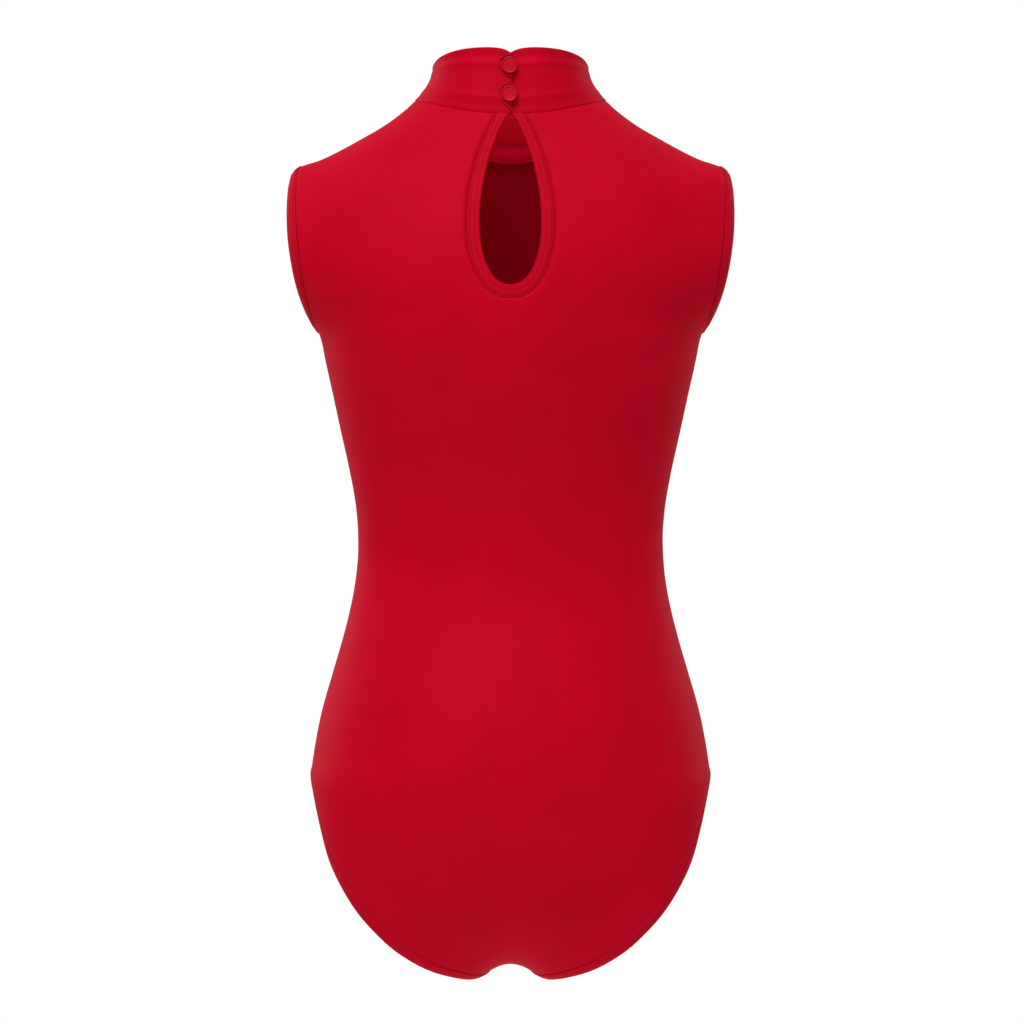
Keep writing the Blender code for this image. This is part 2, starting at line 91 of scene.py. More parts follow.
# the same seams seen from the front
frontSections = (
    (72.5, 0.0, 5.0, -60.0, -38.0, 0.50),
    (79.0, 0.0, -1.8, -66.0, -47.0, 0.50),
    (95.0, 0.0, -13.8, -72.0, -57.0, 0.52),
    (111.0, 0.0, -23.0, -78.0, -67.0, 0.55),
    (127.5, 0.0, -32.0, -84.0, -78.0, 0.60),
    (144.0, 0.0, -40.0, -88.5, -87.0, 0.66),
    (157.0, 0.0, -44.0, -92.0, -94.0, 0.72),
    (159.8, -13.0, -48.5, -95.5, -101.0, 0.78),
    (161.3, -25.0, -60.0, -99.0, -109.5, 0.86),
    (161.0, -36.0, -77.0, -103.0, -119.0, 0.93),
    (159.5, -44.0, -95.0, -106.5, -129.0, 0.96),
    (157.5, -48.5, -112.0, -109.5, -139.0, 0.97),
    (155.2, -48.5, -128.5, -111.5, -149.0, 0.95),
    (152.8, -43.5, -143.5, -112.5, -159.0, 0.90),
    (149.8, -33.5, -157.0, -112.8, -168.5, 0.80),
    (146.6, -18.5, -168.0, -112.8, -177.5, 0.62),
    (145.0, 0.0, -172.0, -112.4, -185.5, 0.46),
    (141.6, 0.0, -184.0, -111.3, -195.0, 0.46),
    (135.2, 0.0, -214.0, -107.0, -218.0, 0.48),
    (128.7, 0.0, -244.7, -100.0, -247.0, 0.50),
    (121.9, 0.0, -275.0, -92.5, -276.5, 0.50),
    (116.6, 0.0, -305.5, -87.5, -306.0, 0.50),
    (115.4, 0.0, -335.9, -86.5, -336.0, 0.50),
    (118.4, 0.0, -366.0, -89.0, -366.0, 0.50),
    (125.3, 0.0, -396.7, -93.0, -397.0, 0.50),
    (134.0, 0.0, -427.0, -97.0, -428.0, 0.49),
    (142.8, 0.0, -457.5, -98.5, -459.0, 0.47),
    (148.0, 0.0, -484.0, -98.0, -486.0, 0.45),
    (150.3, 0.0, -500.0, -97.0, -502.5, 0.43),
    (148.3, -17.0, -503.0, -96.3, -511.5, 0.47),
    (141.0, -35.0, -511.0, -95.2, -522.0, 0.53),
    (129.0, -51.0, -523.5, -93.6, -534.0, 0.64),
    (113.5, -63.0, -539.0, -91.5, -548.0, 0.74),
    (98.5, -71.0, -553.5, -89.0, -562.0, 0.84),
    (83.0, -75.5, -569.0, -85.5, -576.0, 0.92),
    (68.0, -76.0, -585.0, -81.5, -590.0, 1.00),
    (54.5, -72.5, -601.0, -76.0, -604.5, 1.00),
    (41.5, -65.5, -616.0, -68.0, -616.5, 1.00),
    (31.0, -56.0, -630.0, -58.0, -628.5, 1.00),
    (22.5, -45.0, -641.0, -46.5, -638.5, 1.00),
    (17.0, -33.0, -649.2, -34.0, -645.8, 1.00),
    (15.0, -20.0, -653.0, -20.0, -649.6, 1.00),
)
shoulderTip, underarm, hip = 6, 16, 28  # rows of both tables
seamGap = -0.3 * mm  # minus: front and back overlap, so that no light shows between them


# the cloth's form, worked out from the sections

scaledRows = {
    id(table): np.array(table) * ([mm] * 5 + [1.0])  # five lengths in mm, and the roundness as it is
    for table in (backSections, frontSections)
}


def facingOf(table):
    return 1 if table is backSections else -1


def sectionAt(table, place):  # a smooth curve through the rows, so place may lie between two
    rows = scaledRows[id(table)]
    last = len(rows) - 1
    index = min(int(place), last - 1)
    part = place - index
    start, end = rows[index], rows[index + 1]
    slopeStart = (end - rows[index - 1]) / 2 if index > 0 else end - start
    slopeEnd = (rows[index + 2] - start) / 2 if index + 2 <= last else end - start
    return (
        (2 * part**3 - 3 * part**2 + 1) * start
        + (part**3 - 2 * part**2 + part) * slopeStart
        + (3 * part**2 - 2 * part**3) * end
        + (part**3 - part**2) * slopeEnd
    )


def linePoints(table, place, shares):  # from the centre line (0) to the side seams (1 and -1)
    edgeX, edgeY, edgeZ, centreY, centreZ, roundness = sectionAt(table, place)
    shares = np.asarray(shares, float)
    flatness = min(max((roundness - 0.5) * 2, 0.0), 1.0)  # 0 on a round section, 1 on a flat one
    size = abs(shares)
    reach = (1 - flatness) * np.sin(size * math.pi / 2) + flatness * size
    left = np.maximum(1 - reach * reach, 0.0)
    depth = edgeY + (centreY - edgeY) * left**roundness + facingOf(table) * seamGap / 2
    height = edgeZ + (centreZ - edgeZ) * left
    return np.stack([np.copysign(edgeX * reach, shares), depth, height], axis=1)


def onePoint(table, place, share):
    return linePoints(table, place, [share])[0]


def findZero(value, low, high, halvings=36):
    for _ in range(halvings):
        middle = (low + high) / 2
        if value(middle) > 0:
            high = middle
        else:
            low = middle
    return (low + high) / 2


# keyhole outline: the opening, and the line where the binding meets the back

keyhole = {
    "top": -10.0 * mm,
    "opening": {"bottom": -139.5 * mm, "start": 0.5 * mm, "swell": 50.5 * mm, "rise": 0.80},
    "binding": {"bottom": -149.5 * mm, "start": 9.8 * mm, "swell": 61.0 * mm, "rise": 0.85},
    "round": 0.45,
    "gap": 0.35 * mm,
}


def teardrop(part, line, spare=0.0):  # half the width of an outline, a part of the way down
    part = min(max(part, 0.0), 1.0)
    start = (line["start"] + spare) * math.sqrt(1 - part)
    return start + line["swell"] * part ** line["rise"] * (1 - part) ** keyhole["round"]


def bindingLine(height, spare):  # half the width between the outer edges of the binding
    part = (keyhole["top"] - height) / (keyhole["top"] - keyhole["binding"]["bottom"] + spare)
    return 0.0 if part >= 1 else teardrop(part, keyhole["binding"], spare)


def keyholeShare(place, spare):  # how much of a row the keyhole and its binding take
    def pastLine(share):
        x, _, z = onePoint(backSections, place, share)
        return x - bindingLine(z, spare)

    if onePoint(backSections, place, 0.0)[2] <= keyhole["binding"]["bottom"] - spare:
        return 0.0
    return findZero(pastLine, 0.0, 1.0)


def keyholeEnd(spare):  # the row where the binding ends
    def belowBinding(place):
        return keyhole["binding"]["bottom"] - spare - onePoint(backSections, place, 0.0)[2]

    return findZero(belowBinding, underarm / 2, underarm)


# the upper back as a table of depths and heights, to find a point by its x and its height

surfaceLook = {"width": 76.0 * mm, "widthSteps": 76, "shareSteps": 240, "rowSteps": 480}
surfaceWidths = np.linspace(0.0, surfaceLook["width"], surfaceLook["widthSteps"] + 1)
surfaceShares = np.linspace(0.0, 1.0, surfaceLook["shareSteps"] + 1)
surfaceRows = [
    linePoints(backSections, place, surfaceShares)
    for place in np.linspace(0.0, underarm, surfaceLook["rowSteps"] + 1)
]
depthAt = np.array([np.interp(surfaceWidths, row[:, 0], row[:, 1]) for row in surfaceRows])
heightAt = np.array([np.interp(surfaceWidths, row[:, 0], row[:, 2]) for row in surfaceRows])


def backPointAt(x, height):
    place = x / surfaceWidths[1]
    column = int(place)
    part = place - column
    heights = heightAt[:, column] * (1 - part) + heightAt[:, column + 1] * part
    depths = depthAt[:, column] * (1 - part) + depthAt[:, column + 1] * part
    return np.array([x, np.interp(-height, -heights, depths), height])


# mesh helpers

tiny = 1e-12  # stands in for a length of nothing


def gridNormals(points, closedRows=False):
    if closedRows:
        down = np.roll(points, -1, axis=0) - np.roll(points, 1, axis=0)
    else:
        down = np.gradient(points, axis=0)
    across = np.gradient(points, axis=1)
    normals = np.cross(across, down)
    length = np.linalg.norm(normals, axis=2, keepdims=True)
    return normals / np.maximum(length, tiny)


def faceOut(points, normals, centre):
    away = ((points - centre) * normals).sum()
    return normals if away > 0 else -normals


def runLengths(points, axis):
    steps = np.linalg.norm(np.diff(points, axis=axis), axis=2)
    pad = [(1, 0), (0, 0)] if axis == 0 else [(0, 0), (1, 0)]
    return np.cumsum(np.pad(steps, pad), axis=axis)


def meshFrom(name, vertices, faces, uvs=None):
    mesh = bpy.data.meshes.new(name)
    mesh.from_pydata([tuple(v) for v in vertices], [], faces)
    if uvs is not None:
        layer = mesh.uv_layers.new(name="cloth")
        index = np.zeros(len(mesh.loops), dtype=np.int32)
        mesh.loops.foreach_get("vertex_index", index)
        layer.data.foreach_set("uv", np.asarray(uvs, np.float32)[index].ravel())
    mesh.shade_smooth()
    return mesh


def linkObject(name, data):
    item = bpy.data.objects.new(name, data)
    bpy.context.scene.collection.objects.link(item)
    return item


def meshOf(holder):  # the evaluated object as a plain mesh, and the object removed
    graph = bpy.context.evaluated_depsgraph_get()
    mesh = bpy.data.meshes.new_from_object(holder.evaluated_get(graph))
    bpy.data.objects.remove(holder)
    return mesh


def linkMesh(name, mesh, material, node=None):
    piece = linkObject(name, mesh)
    mesh.materials.append(material)
    if node:
        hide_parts(node)
    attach(piece, "root")
    return piece


def mendNormals(mesh):
    work = bmesh.new()
    work.from_mesh(mesh)
    bmesh.ops.remove_doubles(work, verts=work.verts, dist=mergeDistance)
    bmesh.ops.recalc_face_normals(work, faces=work.faces)
    work.to_mesh(mesh)
    work.free()


# node helpers, for the materials, the stitches and the studio

def addNode(tree, kind, inputs=None, **settings):
    node = tree.nodes.new(kind)
    for name, value in settings.items():
        setattr(node, name, value)
    for name, value in (inputs or {}).items():
        node.inputs[name].default_value = value
    return node


def linkNodes(tree, *routes):
    for start, output, end, socket in routes:
        tree.links.new(start.outputs[output], end.inputs[socket])


def newMaterial(name, specular):
    material = bpy.data.materials.new(name)
    material.use_nodes = True
    shader = material.node_tree.nodes["Principled BSDF"]
    shader.inputs["Specular IOR Level"].default_value = specular
    return material, material.node_tree, shader


def addNoise(tree, scale, detail):
    place = addNode(tree, "ShaderNodeTexCoord")
    noise = addNode(tree, "ShaderNodeTexNoise", {"Scale": scale, "Detail": detail})
    linkNodes(tree, (place, "Object", noise, "Vector"))
    return noise


def varyColour(tree, shader, source, output, dark, light):
    mix = addNode(tree, "ShaderNodeMix", {"A": (*dark, 1.0), "B": (*light, 1.0)}, data_type="RGBA")
    linkNodes(tree, (source, output, mix, "Factor"), (mix, "Result", shader, "Base Color"))


def varyRoughness(tree, shader, noise, low, high):
    rough = addNode(tree, "ShaderNodeMapRange", {"To Min": low, "To Max": high})
    linkNodes(tree, (noise, "Fac", rough, "Value"), (rough, "Result", shader, "Roughness"))


def addBump(tree, source, output, strength, depth, target):
    bump = addNode(tree, "ShaderNodeBump", {"Strength": strength, "Distance": depth})
    linkNodes(tree, (source, output, bump, "Height"), (bump, "Normal", target, "Normal"))
    return bump


# materials

knitLook = {
    "colour": (0.61, 0.0012, 0.0185),
    "shade": (0.57, 0.0010, 0.0165),
    "cloud": {"scale": 16.0, "detail": 5.0},  # slow change of colour over the cloth
    "cloudRange": (0.36, 0.62),
    "roughness": (0.57, 0.67),
    "specular": 0.03,
    "sheen": 0.08,
    "sheenRoughness": 0.38,
    "sheenTint": (1.0, 0.22, 0.28, 1.0),
    "bandSpacing": 0.31416,  # metres between the bands of a wave texture of scale 1
    "stitchPitch": 0.62 * mm,
    "ribScale": 0.55,
    "courseScale": 1.3,
    "wobble": 0.5,
    "wobbleScale": 3.0,
    "bump": 0.10,
    "bumpDepth": 0.25 * mm,
    "grain": {"scale": 420.0, "detail": 3.0},  # uneven surface of the worn knit
    "grainBump": 0.10,
    "grainDepth": 0.35 * mm,
}
threadLook = {
    "specular": 0.12,
    "shade": 0.7,
    "fibre": {"scale": 900.0, "detail": 2.0},
    "bump": 0.3,
    "bumpDepth": 0.1 * mm,
}
buttonFinish = {
    "shade": (0.52, 0.0010, 0.014),
    "colour": (0.64, 0.0016, 0.019),
    "roughness": (0.20, 0.32),
    "specular": 0.16,
    "swirl": {"scale": 260.0, "detail": 4.0},
    "bump": 0.12,
    "bumpDepth": 0.1 * mm,
}


def makeKnit(name, darker=1.0, bump=1.0, ribbed=False):
    look = knitLook
    material, tree, shader = newMaterial(name, look["specular"])
    shader.inputs["Sheen Weight"].default_value = look["sheen"]
    shader.inputs["Sheen Roughness"].default_value = look["sheenRoughness"]
    shader.inputs["Sheen Tint"].default_value = look["sheenTint"]
    cloud = addNoise(tree, **look["cloud"])
    low, high = look["cloudRange"]
    spread = addNode(tree, "ShaderNodeMapRange", {"From Min": low, "From Max": high})
    linkNodes(tree, (cloud, "Fac", spread, "Value"))
    dark, light = ([channel * darker for channel in look[key]] for key in ("shade", "colour"))
    varyColour(tree, shader, spread, "Result", dark, light)
    varyRoughness(tree, shader, cloud, *look["roughness"])
    scale = look["bandSpacing"] / look["stitchPitch"]
    walesInputs = {
        "Scale": scale * (look["ribScale"] if ribbed else 1.0),
        "Distortion": look["wobble"],
        "Detail Scale": look["wobbleScale"],
    }
    coursesInputs = {"Scale": scale * look["courseScale"], "Distortion": look["wobble"]}
    thread = addNode(tree, "ShaderNodeUVMap", uv_map="cloth")
    wales = addNode(tree, "ShaderNodeTexWave", walesInputs, bands_direction="X")
    courses = addNode(tree, "ShaderNodeTexWave", coursesInputs, bands_direction="Y")
    loops = addNode(tree, "ShaderNodeMath", operation="MULTIPLY")
    linkNodes(
        tree,
        (thread, "UV", wales, "Vector"),
        (thread, "UV", courses, "Vector"),
        (wales, "Fac", loops, 0),
        (courses, "Fac", loops, 1),
    )
    grain = addNoise(tree, **look["grain"])
    worn = addBump(tree, grain, "Fac", look["grainBump"] * bump, look["grainDepth"], shader)
    addBump(tree, loops, "Value", look["bump"] * bump, look["bumpDepth"], worn)
    return material


def makeThread(name, colour, roughness):
    look = threadLook
    material, tree, shader = newMaterial(name, look["specular"])
    shader.inputs["Roughness"].default_value = roughness
    fibre = addNoise(tree, **look["fibre"])
    varyColour(tree, shader, fibre, "Fac", [channel * look["shade"] for channel in colour], colour)
    addBump(tree, fibre, "Fac", look["bump"], look["bumpDepth"], shader)
    return material


def makeButtonFinish(name):
    look = buttonFinish
    material, tree, shader = newMaterial(name, look["specular"])
    swirl = addNoise(tree, **look["swirl"])
    varyColour(tree, shader, swirl, "Fac", look["shade"], look["colour"])
    varyRoughness(tree, shader, swirl, *look["roughness"])
    addBump(tree, swirl, "Fac", look["bump"], look["bumpDepth"], shader)
    return material


redKnit = makeKnit("redKnit")
collarKnit = makeKnit("collarKnit", darker=0.98)
bindingKnit = makeKnit("bindingKnit", bump=1.2, ribbed=True)
hemKnit = makeKnit("hemKnit", darker=0.97, bump=1.1)
stitchThread = makeThread("stitchThread", (0.36, 0.0010, 0.009), roughness=0.7)
crossThread = makeThread("crossThread", (0.68, 0.0030, 0.026), roughness=0.6)
# painted shade: near-black dots along the armhole seam stand in for its shadow line
seamShade = makeThread("seamShade", (0.20, 0.0008, 0.006), roughness=0.8)
# thread lighter than the cloth: partly its own red, partly painted glints along the hem stitches
hemThreadGlint = makeThread("hemThreadGlint", (0.66, 0.0080, 0.028), roughness=0.6)
loopCord = makeThread("loopCord", (0.52, 0.0015, 0.014), roughness=0.6)
buttonRed = makeButtonFinish("buttonRed")
print("materials made")


# panels

panelLook = {
    "wall": 1.0 * mm,
    "seamDip": 0.55 * mm,
    "seamRoll": 1.7 * mm,
    "holeDip": 0.5,  # share of the seam's dip
    "legDip": 0.18,
    "columns": 46,
    "crowding": 1.45,
    "rowsBetween": 5,
    "edgeRows": (0.03, 0.08, 0.13),
    "holeRows": 9,
    "holeReach": 0.55,
    "holeClear": (0.5, 0.1),
    "evenReach": 30.0 * mm,
    "evenRounds": 24,
    "creaseEnd": 0.02,
    "creaseFade": 0.7,
}
# soft creases, troughs (minus) and ridges (plus): start x and z, end x and z, width and depth in mm
backCreases = (
    (-150.0, -168.0, -86.0, -204.0, 10.0, -0.9),
    (-148.0, -180.0, -92.0, -226.0, 13.0, 0.7),
    (148.0, -170.0, 96.0, -196.0, 9.0, -0.8),
    (146.0, -184.0, 82.0, -222.0, 14.0, 0.6),
    (-120.0, -322.0, -58.0, -334.0, 11.0, -0.7),
    (118.0, -338.0, 70.0, -346.0, 9.0, -0.6),
    (-118.0, -352.0, -76.0, -362.0, 9.0, -0.5),
    (30.0, -648.0, 58.0, -606.0, 9.0, -0.8),
    (-28.0, -648.0, -50.0, -612.0, 8.0, -0.7),
    (-38.0, -16.0, -76.0, -62.0, 12.0, -0.5),
    (40.0, -18.0, 84.0, -52.0, 11.0, -0.5),
)
frontCreases = (
    (-148.0, -172.0, -88.0, -190.0, 10.0, -0.9),
    (-146.0, -182.0, -70.0, -214.0, 13.0, 0.7),
    (147.0, -174.0, 80.0, -196.0, 11.0, -0.9),
    (145.0, -190.0, 94.0, -226.0, 12.0, 0.6),
    (-118.0, -330.0, -62.0, -338.0, 10.0, -0.7),
    (117.0, -320.0, 50.0, -334.0, 12.0, -0.6),
    (24.0, -648.0, 50.0, -596.0, 8.0, -0.7),
    (-25.0, -646.0, -56.0, -600.0, 9.0, -0.6),
)


def creaseRelief(points, creases):
    relief = np.zeros(points.shape[:2])
    flat = points[..., [0, 2]] / mm
    for startX, startZ, endX, endZ, width, depth in creases:
        start, along = np.array([startX, startZ]), np.array([endX - startX, endZ - startZ])
        part = np.clip(((flat - start) @ along) / (along @ along), 0.0, 1.0)
        apart = np.linalg.norm(flat - start - part[..., None] * along, axis=2)
        inner = np.clip(part, panelLook["creaseEnd"], 1 - panelLook["creaseEnd"])
        fade = np.sin(inner * math.pi) ** panelLook["creaseFade"]
        relief += depth * mm * fade * np.exp(-((apart / width) ** 2))
    return relief


def panelPlaces(table):
    steps = panelLook["rowsBetween"]
    places = [index + step / steps for index in range(len(table) - 1) for step in range(steps)]
    return sorted([*places, *panelLook["edgeRows"], len(table) - 1.0])


def panelPoints(table, places, innerShares, side):
    columns = panelLook["columns"]
    spread = 1 - (1 - np.arange(columns + 1) / columns) ** panelLook["crowding"]
    return np.array([
        linePoints(table, place, side * np.maximum(inner + (1 - inner) * spread, sliver))
        for place, inner in zip(places, innerShares)
    ])


def evenOut(points, holeRows):  # smooths the rows into each other, but for seams and the keyhole's edge
    across = runLengths(points, 1)
    freedom = np.clip((across[:, -1:] - across) / panelLook["evenReach"], 0.0, 1.0)
    fromHole = np.clip(across / panelLook["evenReach"], 0.0, 1.0)
    nearHole = holeRows | np.roll(holeRows, 1) | np.roll(holeRows, 2)
    freedom = np.where(nearHole[:, None], np.minimum(freedom, fromHole), freedom)[..., None]
    for _ in range(panelLook["evenRounds"]):
        middle = points.copy()
        middle[1:-1] = (points[:-2] + 2 * points[1:-1] + points[2:]) / 4
        points = points + (middle - points) * freedom
    return points


def makePanel(name, table, places, innerShares, creases, material):
    vertices, faces, uvs = [], [], []
    holeRows = np.array(innerShares) > 0
    middleOfBody = np.array([0.0, 0.0, -300.0 * mm])
    for side in (1, -1):
        points = evenOut(panelPoints(table, places, innerShares, side), holeRows)
        normals = faceOut(points, gridNormals(points), middleOfBody)
        across = runLengths(points, 1)
        toEdge = across[:, -1:] - across
        fromTop = runLengths(points, 0)
        roll = panelLook["seamRoll"]
        sideDip = np.where(np.array(places)[:, None] > hip, panelLook["legDip"], 1.0)
        dip = sideDip * np.exp(-((toEdge / roll) ** 2)) + np.exp(-((fromTop / roll) ** 2))
        holeEdge = panelLook["holeDip"] * np.exp(-((across / roll) ** 2))
        dip += np.where(holeRows[:, None], holeEdge, 0.0)
        relief = creaseRelief(points, creases) - panelLook["seamDip"] * np.minimum(dip, 1.0)
        moved = points + normals * relief[..., None]
        start = len(vertices)
        rows, columns = points.shape[:2]
        vertices += list(moved.reshape(-1, 3))
        startX = points[:, :1, 0] * side
        uvs += list(np.stack([(across + startX) * side, -fromTop], axis=2).reshape(-1, 2))
        for row in range(rows - 1):
            for column in range(columns - 1):
                a = start + row * columns + column
                quad = (a, a + 1, a + columns + 1, a + columns)
                faces.append(quad if side * facingOf(table) < 0 else quad[::-1])
    mesh = meshFrom(name, vertices, faces, uvs)
    mendNormals(mesh)
    piece = linkMesh(name, mesh, material, name.replace("_cloth", ""))
    wall = piece.modifiers.new("wall", "SOLIDIFY")
    wall.thickness = panelLook["wall"]
    wall.offset = 0.0
    return piece


# rows crowded towards the lower end of the keyhole draw its round end, and even rows near them give way
holeEnd = keyholeEnd(keyhole["gap"]) + 1e-6  # just below the hole
above, below = panelLook["holeClear"]
roundRows = [
    holeEnd - panelLook["holeReach"] * (1 - math.sin(step / panelLook["holeRows"] * math.pi / 2))
    for step in range(1, panelLook["holeRows"] + 1)
]
evenRows = [
    place for place in panelPlaces(backSections) if not holeEnd - above < place < holeEnd + below
]
backPlaces = sorted(evenRows + roundRows)
backShares = [keyholeShare(place, keyhole["gap"]) for place in backPlaces]
backPanel = makePanel("back_panel_cloth", backSections, backPlaces, backShares, backCreases, redKnit)
frontPlaces = panelPlaces(frontSections)
frontPanel = makePanel(
    "front_panel_cloth", frontSections, frontPlaces, [0.0] * len(frontPlaces), frontCreases, redKnit
)
print("panels made")


# bands: strips with rounded edges, swept round an opening

bandLook = {
    "wall": 1.7 * mm,
    "armholeWidth": 9.0 * mm,
    "hemWidth": 8.5 * mm,
    "tuck": -0.7 * mm,
    "curl": 1.4 * mm,
    "topDroop": 2.4,
    "columns": 21,
    "capSteps": 4,
    "seamDip": 0.45 * mm,
    "armholeDip": 0.62 * mm,
    "hemDip": 0.08 * mm,
    "seamWidth": 0.14,  # widths of dips are shares of the band's width
    "hemSeamWidth": 0.10,
    "puff": 0.35 * mm,
    "groove": 0.10 * mm,
    "grooveWidth": 0.07,
    "loopSteps": 4,
    "insideShare": 0.93,
    "halfRow": 0.5,
    "crotchRows": 4,  # rows where the hem faces down
    "turnRounds": 14,
    "lineRounds": 3,
}
# rows of thread, and one row of dark dots that paints the seam's shadow line: their shares of the band's
# width, and the size and slant of each stitch
coverRows = {
    "shares": (0.24, 0.60), "pitch": 2.6 * mm, "length": 1.6 * mm,
    "thickness": 0.9 * mm, "slant": 0.0,
}
crossRows = {
    "shares": (0.42,), "pitch": 1.5 * mm, "length": 3.7 * mm,
    "thickness": 0.4 * mm, "slant": 1.15,
}
# painted shade: dark dots at the band's seam edge, not a real thread, draw the seam's shadow line
seamShadeRows = {
    "shares": (0.03,), "pitch": 1.1 * mm, "length": 1.5 * mm,
    "thickness": 0.65 * mm, "slant": 0.0,
}
hemRows = {
    "shares": (0.20,), "pitch": 1.8 * mm, "length": 2.5 * mm,
    "thickness": 0.45 * mm, "slant": 0.85,
}


# a closed wall round a strip's middle surface, whose stations may be thinner towards an end
def sweepStrip(name, middle, normals, wall, closed, material, node, thinness=None):
    count, columns = middle.shape[:2]
    steps = bandLook["capSteps"]
    across = runLengths(middle, 1)
    turns = [math.pi * step / steps for step in range(1, steps)]
    # round the wall: its outer side, a rounded edge, its inner side and the other edge
    ring = [(column, 1.0, 0.0) for column in range(columns)]
    ring += [(columns - 1, math.cos(turn), math.sin(turn)) for turn in turns]
    ring += [(column, -1.0, 0.0) for column in reversed(range(columns))]
    ring += [(0, -math.cos(turn), -math.sin(turn)) for turn in turns]
    tangents = np.gradient(middle, axis=1)
    tangents /= np.linalg.norm(tangents, axis=2, keepdims=True)
    inset = wall / 2
    vertices, uvs = [], []
    along = runLengths(middle, 0)
    for index in range(count):
        thick = 1.0 if thinness is None else thinness[index]
        for column, rise, out in ring:
            point = middle[index, column].copy()
            if column == 0:
                point = point + tangents[index, column] * inset
            if column == columns - 1:
                point = point - tangents[index, column] * inset
            lift = normals[index, column] * rise * thick
            vertices.append(point + (lift + tangents[index, column] * out) * inset)
            uvs.append((along[index, column], across[index, column] + out * inset))
    size = len(ring)
    faces = []
    for index in range(count if closed else count - 1):
        here, after = index * size, ((index + 1) % count) * size
        for corner in range(size):
            beyond = (corner + 1) % size
            faces.append((here + corner, here + beyond, after + beyond, after + corner))
    if not closed:
        faces.append(tuple(reversed(range(size))))
        faces.append(tuple((count - 1) * size + corner for corner in range(size)))
    mesh = meshFrom(name, vertices, faces, uvs)
    mendNormals(mesh)
    return linkMesh(name, mesh, material, node)


def edgeFrame(table, place, side):  # a point of the panel's edge and the way the cloth faces there
    point = onePoint(table, place, side)
    inside = onePoint(table, place, side * bandLook["insideShare"])
    last = len(table) - 1
    above = onePoint(table, max(place - bandLook["halfRow"], 0.0), side)
    below = onePoint(table, min(place + bandLook["halfRow"], last), side)
    normal = np.cross(below - above, point - inside)
    normal /= np.linalg.norm(normal)
    outward = np.array([point[0], point[1], 0.0])
    if place >= last - bandLook["crotchRows"]:
        outward = np.array([0.0, 0.0, -1.0])
    return point, normal if normal @ outward > 0 else -normal


def openingLoop(first, last, side):  # with no last row, the opening runs to the crotch
    steps = bandLook["loopSteps"]
    backLast = len(backSections) - 1 if last is None else last
    frontLast = len(frontSections) - 1 if last is None else last
    back = [first + step / steps for step in range((backLast - first) * steps + 1)]
    front = [first + step / steps for step in range(1, (frontLast - first) * steps)]
    loop = [edgeFrame(backSections, place, side) for place in back]
    loop += [edgeFrame(frontSections, place, side) for place in reversed(front)]
    points = np.array([point for point, _ in loop])
    normals = np.array([normal for _, normal in loop])
    for _ in range(bandLook["turnRounds"]):
        normals = np.roll(normals, 1, 0) + 2 * normals + np.roll(normals, -1, 0)
        normals /= np.linalg.norm(normals, axis=1, keepdims=True)
    for _ in range(bandLook["lineRounds"]):
        points = (np.roll(points, 1, 0) + 6 * points + np.roll(points, -1, 0)) / 8
    return points, normals


# a band carries the panel's surface on into the opening, and curls in towards its free edge
def bandSurface(points, normals, width, shape):
    along = np.roll(points, -1, 0) - np.roll(points, 1, 0)
    outward = np.cross(normals, along)
    outward /= np.linalg.norm(outward, axis=1, keepdims=True)
    centre = points.mean(axis=0)
    if ((centre - points) * outward).sum() < 0:
        outward = -outward
    parts = np.linspace(0.0, 1.0, bandLook["columns"])
    distance = bandLook["tuck"] + (width - bandLook["tuck"]) * parts
    droop = 1 + bandLook["topDroop"] * np.maximum(normals[:, 2], 0.0) ** 2
    lift = shape(parts)[None, :] - bandLook["curl"] * droop[:, None] * (parts * parts)[None, :]
    spread = points[:, None] + outward[:, None] * distance[None, :, None]
    return spread + normals[:, None] * lift[..., None]


def bindingShape(parts, seamDip=bandLook["seamDip"]):
    dip = seamDip * np.exp(-((parts / bandLook["seamWidth"]) ** 2))
    for row in coverRows["shares"]:
        dip = dip + bandLook["groove"] * np.exp(-(((parts - row) / bandLook["grooveWidth"]) ** 2))
    return bandLook["puff"] * np.sin(parts * math.pi) - dip


def armholeShape(parts):
    return bindingShape(parts, bandLook["armholeDip"])


def hemShape(parts):
    dip = bandLook["hemDip"] * np.exp(-((parts / bandLook["hemSeamWidth"]) ** 2))
    return bandLook["puff"] * np.sin(parts * math.pi) - dip


def makeBand(name, node, first, last, side, width, shape, material):
    points, normals = openingLoop(first, last, side)
    middle = bandSurface(points, normals, width, shape)
    facing = gridNormals(middle, closedRows=True)
    if (facing.mean(axis=1) * normals).sum() < 0:
        facing = -facing
    piece = sweepStrip(name, middle, facing, bandLook["wall"], True, material, node)
    return piece, middle, facing


armholes, hems = {}, {}
for side, label in ((1, "left"), (-1, "right")):
    armholes[label] = makeBand(
        "armhole_band_" + label, "armhole_binding_" + label, shoulderTip, underarm, side,
        bandLook["armholeWidth"], armholeShape, bindingKnit,
    )
    hems[label] = makeBand(
        "leg_band_" + label, "leg_hem_" + label, hip, None, side,
        bandLook["hemWidth"], hemShape, hemKnit,
    )
print("armhole bindings and leg hems made")


# keyhole binding

keyholeLook = {
    "wall": 1.7 * mm,
    "stations": 64,
    "crowding": 1.5,
    "tuck": 0.7 * mm,
    "joinStations": (1e-4, 1e-5, 1e-6),
    "joinDip": 0.5 * mm,
    "joinWidth": 0.3 * mm,
    "joinReach": 3.0 * mm,
}


